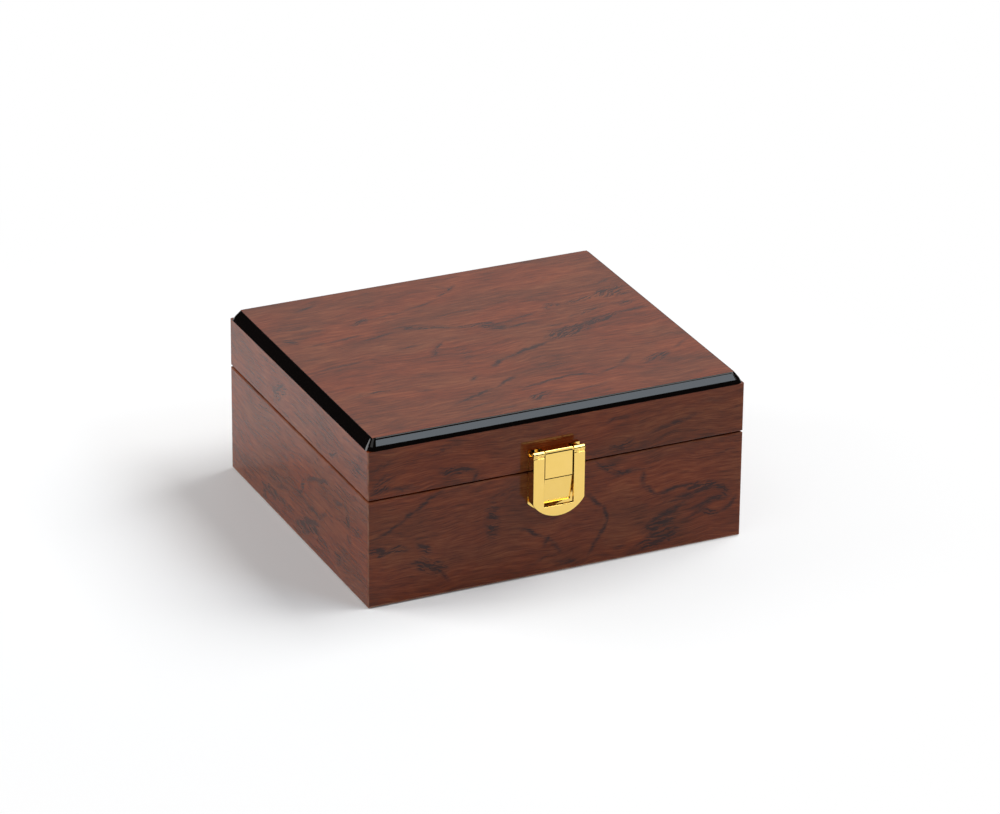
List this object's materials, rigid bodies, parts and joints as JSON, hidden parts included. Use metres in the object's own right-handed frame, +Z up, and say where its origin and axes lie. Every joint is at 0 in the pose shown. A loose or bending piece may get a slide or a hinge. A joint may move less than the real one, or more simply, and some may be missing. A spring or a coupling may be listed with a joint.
{
  "type": "cufflink display box",
  "caption": "Hinged veneered wooden box with a black bevelled lid, flap clasp, stop hinges and a divided velvet insert of padded rolls for cufflinks.",
  "frame": {"origin": "centre of the underside of the case, on the surface that it stands on", "axes": "+Z up, -Y towards the front with the clasp, +X to the right seen from the front"},
  "size_m": [0.15, 0.1417, 0.066],
  "materials": {
    "veneer": "reddish-brown veneer on board under clear gloss lacquer",
    "black_lacquer": "black gloss lacquer on board",
    "board": "plain sanded fibreboard",
    "felt": "thin pressed black felt",
    "velvet": "black velvet over card and foam",
    "satin": "cream satin over foam",
    "hinge_brass": "polished brass",
    "clasp_gold": "bright gold plate"
  },
  "bodies": {
    "base": {"base_front_wall": "veneer", "base_back_wall": "veneer", "base_left_wall": "veneer", "base_right_wall": "veneer", "base_floor_board": "board", "base_felt": "felt", "base_lining_front": "velvet", "base_lining_back": "velvet", "base_lining_left": "velvet", "base_lining_right": "velvet", "insert_floor": "velvet", "long_divider_front": "velvet", "long_divider_back": "velvet", "cross_divider_left": "velvet", "cross_divider_middle": "velvet", "cross_divider_right": "velvet", "padded_rolls_a1": "velvet", "padded_rolls_a2": "velvet", "padded_rolls_a3": "velvet", "padded_rolls_a4": "velvet", "padded_rolls_b1": "velvet", "padded_rolls_b2": "velvet", "padded_rolls_b3": "velvet", "padded_rolls_b4": "velvet", "padded_rolls_c1": "velvet", "padded_rolls_c2": "velvet", "padded_rolls_c3": "velvet", "padded_rolls_c4": "velvet", "left_hinge_base_leaf": "hinge_brass", "right_hinge_base_leaf": "hinge_brass", "left_hinge_pin": "hinge_brass", "right_hinge_pin": "hinge_brass", "hinge_base_screws": "hinge_brass", "clasp_base_plate": "clasp_gold", "clasp_base_screws": "clasp_gold"},
    "lid": {"lid_front_wall": "veneer", "lid_back_wall": "veneer", "lid_left_wall": "veneer", "lid_right_wall": "veneer", "lid_top_panel": "black_lacquer", "lid_top_veneer": "veneer", "lid_lining_front": "velvet", "lid_lining_back": "velvet", "lid_lining_left": "velvet", "lid_lining_right": "velvet", "lid_pad": "satin", "left_hinge_lid_leaf": "hinge_brass", "right_hinge_lid_leaf": "hinge_brass", "hinge_lid_screws": "hinge_brass", "clasp_lid_plate": "clasp_gold", "clasp_pin": "clasp_gold", "clasp_lid_screws": "clasp_gold"},
    "flap": {"clasp_flap": "clasp_gold"}
  },
  "joints": [
    {"name": "lid_hinge", "type": "hinge", "parent": "base", "child": "lid", "pos_m": [0, 0.0674, 0.0426], "axis": [-1, 0, 0], "range_deg": [0, 94.5]},
    {"name": "clasp_hinge", "type": "hinge", "parent": "lid", "child": "flap", "pos_m": [-0.0024, -0.0697, 0.0512], "axis": [-1, 0, 0], "range_deg": [0, 120]}
  ]
}
